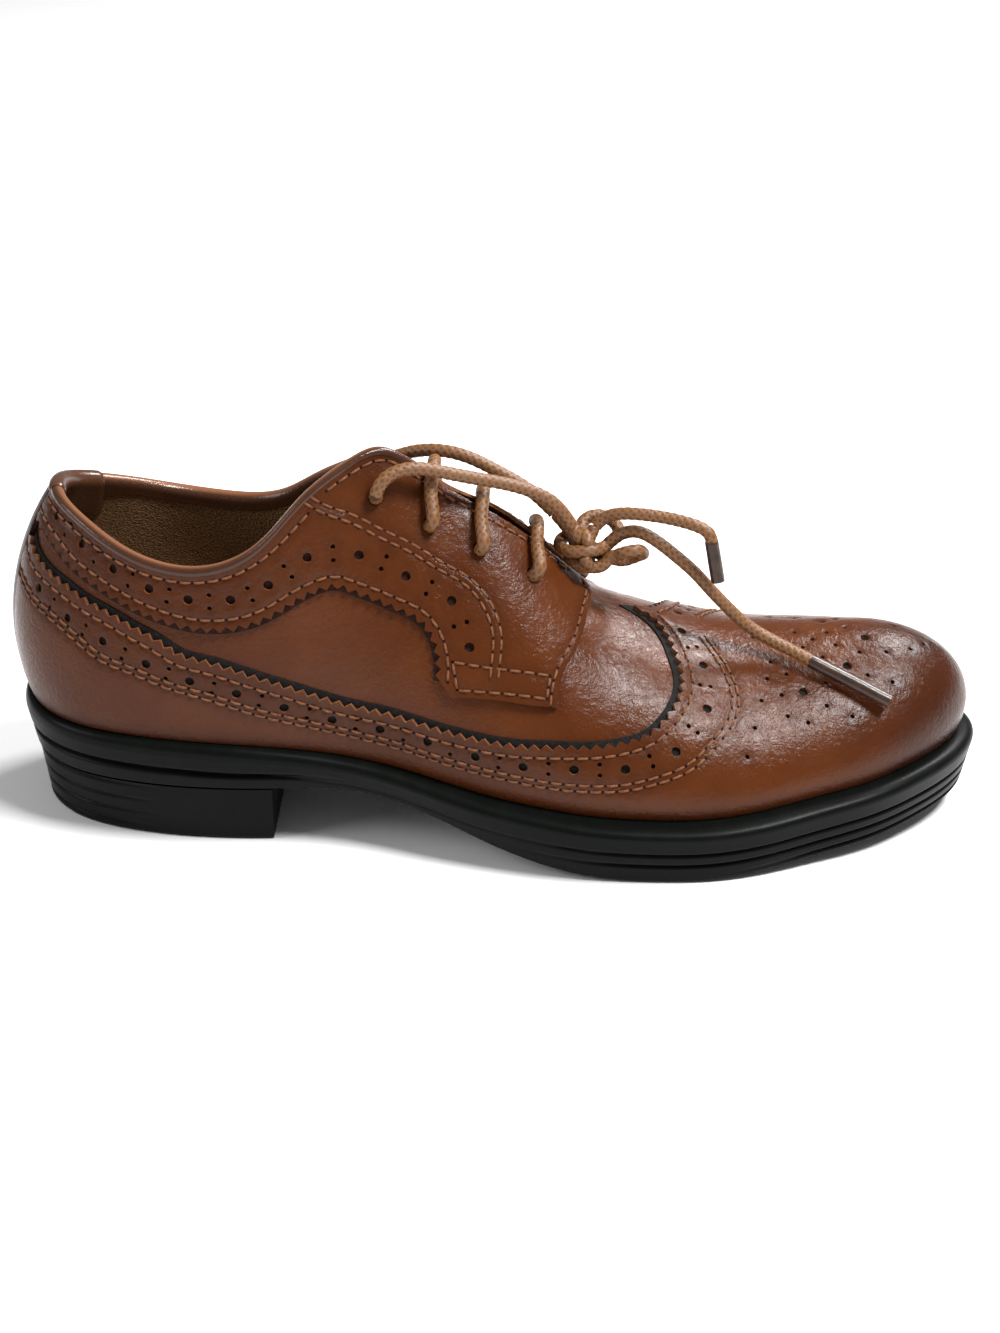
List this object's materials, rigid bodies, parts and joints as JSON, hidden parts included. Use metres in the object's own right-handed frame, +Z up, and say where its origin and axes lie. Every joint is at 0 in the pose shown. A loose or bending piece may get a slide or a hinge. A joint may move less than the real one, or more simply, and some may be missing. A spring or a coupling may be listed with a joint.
{
  "type": "brogue shoe",
  "caption": "Lace-up wing-tip brogue shoe in tan leather with punched and pinked overlays, open lacing flaps, waxed laces and a ribbed black rubber sole with a heel block.",
  "frame": {"origin": "middle of the shoe's footprint, on the floor that heel and forefoot rest on", "axes": "+X from heel to toe, +Z up, -Y to the lateral (outer) side of the foot"},
  "size_m": [0.2558, 0.0965, 0.1024],
  "materials": {
    "tan_leather": "tan-brown pebbled leather, waxed, burnished dark at toe, heel and lacing",
    "edge_leather": "dark brown leather strip and rolled edges",
    "tongue_leather": "dark brown leather, matt",
    "insole_lining": "brown textile lining and sock",
    "stitching": "light tan thread",
    "black_rubber": "black rubber, satin",
    "waxed_cord": "golden-brown braided cord, waxed",
    "aglet_film": "dark brown film, glossy"
  },
  "bodies": {
    "root": {"outsole": "black_rubber", "heel": "black_rubber", "insole": "insole_lining", "upper": "tan_leather", "wing": "tan_leather", "collar_lateral": "tan_leather", "collar_medial": "tan_leather", "facing_lateral": "tan_leather", "facing_medial": "tan_leather", "backstay": "edge_leather", "tongue": "tongue_leather", "lace_bar_1": "waxed_cord", "lace_bar_2": "waxed_cord", "lace_bar_3": "waxed_cord", "lace_knot": "waxed_cord", "lace_strand_near": "waxed_cord", "lace_strand_far": "waxed_cord", "lace_loop": "waxed_cord", "lace_end_short": "waxed_cord", "lace_end_long": "waxed_cord", "aglet_short": "aglet_film", "aglet_long": "aglet_film"}
  },
  "joints": []
}
